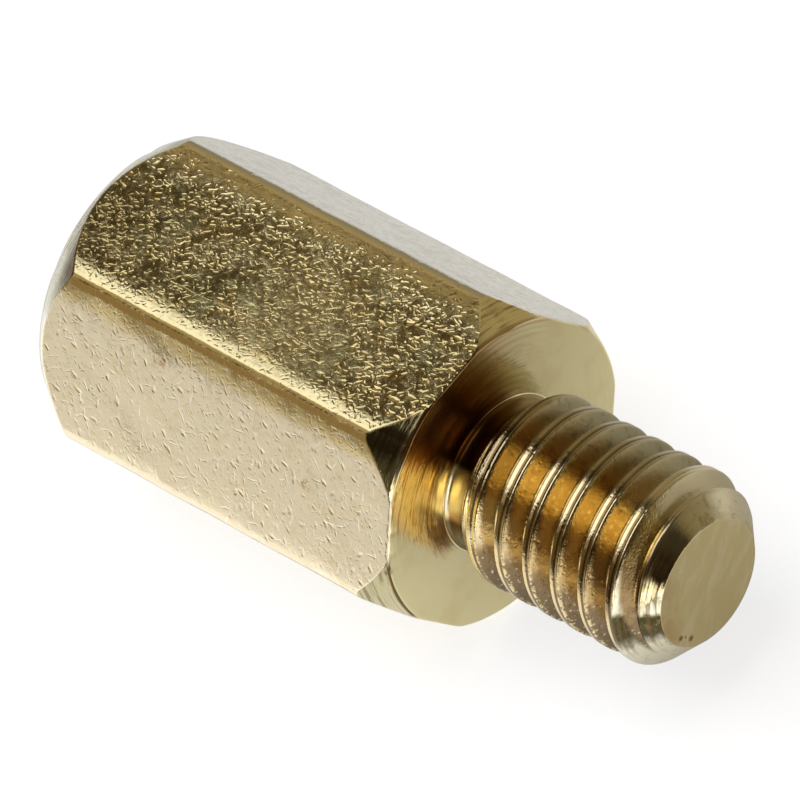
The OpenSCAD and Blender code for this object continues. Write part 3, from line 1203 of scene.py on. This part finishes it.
studio = {  # mm, but for the floor's size
    "floorHalf": 1.0,  # metres
    "floorColour": (0.88, 0.88, 0.88),
    "middle": (-1.5, 0),  # x and y that the floor's distances are measured from
    "floorLift": (8, 24, 0.74, 0.90),  # what the floor adds where it is looked at, near and far
    "liftColour": (0.955, 0.98, 1.03),
    "mirrorLift": 0.42,  # what it adds where the metal mirrors it: less below the stud, a painted shadow, and more along the near side, a painted pool of light
    "mirrorDark": ((5, 2.5, -2), (2.5, 5.2, 0.28)),  # painted shadow below the stud: centre, inner and outer radius, how much less
    "mirrorBright": (-14, -8.5, 0.42),  # painted pool of light on the near side: from and full at this y, how much more
    "mirrorNear": (-3, -1.5),  # and where that ends again
    "reach": 40,  # beyond this the floor's paint and what it adds where mirrored fall off with distance, a painted fall-off of light
    "backdrop": (0.97, 0.97, 0.97),
    "room": (0.045, 0.035, 0.020),
    "cards": [  # towards, inner and outer half angle in degrees, colour
        ((-0.34, 0.90, 0.26), 30, 52, (0.37, 0.30, 0.18)),
        ((-0.84, -0.50, 0.20), 28, 55, (0.27, 0.20, 0.11)),
        ((0.64, 0.76, 0.10), 15, 40, (0.30, 0.25, 0.14)),
        ((0.60, -0.80, 0.02), 14, 24, (2.2, 2.0, 1.5)),
    ],
    "box": (1.35, 1.32, 1.28),
    "boxSides": [  # facing, then where the light starts and where it is full: a soft rectangle
        ((0, -1, 0), -0.255, -0.16),
        ((0, 1, 0), -0.53, -0.42),
        ((1, 0, 0), -0.80, -0.70),
        ((-1, 0, 0), -0.27, -0.14),
        ((0, 0, 1), 0.0, 0.1),
    ],
}


def makeFloor():
    # one large square at the height of the lowest flat. Its paint and what it adds where it is
    # mirrored fall off as reach / distance, a painted fall-off of light
    s = studio
    half, z = s["floorHalf"], cadLow.z
    corners = [(-half, -half, z), (half, -half, z), (half, half, z), (-half, half, z)]
    mesh = bpy.data.meshes.new("floor")
    mesh.from_pydata(corners, [], [(0, 1, 2, 3)])
    floor = bpy.data.objects.new("floor", mesh)
    bpy.context.scene.collection.objects.link(floor)
    material = newMaterial("paleFloor")
    here = place()
    away = distanceTo(here, (*s["middle"], z / mm))
    dim = calc("MINIMUM", calc("DIVIDE", s["reach"], away), 1)
    paint = blend(dim, (0, 0, 0), s["floorColour"])
    paint = add("BsdfDiffuse", {"Color": paint}).outputs[0]
    centre, (inner, outer, less) = s["mirrorDark"]
    start, full, more = s["mirrorBright"]
    y = along(here, (0, 1, 0))
    # a painted shadow below the stud and a painted pool of light on the near side, in what the
    # metal mirrors
    darker = fade(distanceTo(here, centre), inner, outer, less, 0)
    brighter = times(fade(y, start, full, 0, more), fade(y, *s["mirrorNear"], 1, 0))
    mirrored = plus(calc("SUBTRACT", s["mirrorLift"], darker), brighter)
    mirrored = times(mirrored, dim)
    ray = add("LightPath").outputs
    glossy = ray["Is Glossy Ray"]
    seen = calc("MAXIMUM", ray["Is Camera Ray"], glossy)
    seen = calc("MAXIMUM", seen, ray["Is Transmission Ray"])
    straight = times(fade(away, *s["floorLift"]), calc("SUBTRACT", seen, glossy))
    strength = plus(times(mirrored, glossy), straight)
    lift = add("Emission", {"Color": s["liftColour"], "Strength": strength}).outputs[0]
    both = add("AddShader", {0: paint, 1: lift}).outputs[0]
    add("OutputMaterial", {"Surface": both})
    mesh.materials.append(material)


def makeWorld():
    # a dim room with low warm cards and one large soft box overhead, behind a pale backdrop
    world = bpy.data.worlds.new("studio")
    startTree(world)
    towards = add("TexCoord").outputs["Generated"]
    light = studio["room"]
    for way, inner, outer, colour in studio["cards"]:
        facing = along(towards, tuple(Vector(way).normalized()))
        edge, full = math.cos(math.radians(outer)), math.cos(math.radians(inner))
        light = blend(fade(facing, edge, full), light, colour)
    inBox = 1.0
    for way, least, full in studio["boxSides"]:
        inBox = times(inBox, fade(along(towards, way), least, full))
    light = blend(inBox, light, studio["box"])
    straight = add("LightPath").outputs["Is Camera Ray"]
    light = blend(straight, light, studio["backdrop"])
    background = add("Background", {"Color": light, "Strength": 1.0}).outputs[0]
    add("OutputWorld", {"Surface": background})
    bpy.context.scene.world = world


makeFloor()
makeWorld()
bpy.context.scene.view_settings.view_transform = "Standard"
print("floor and light made")
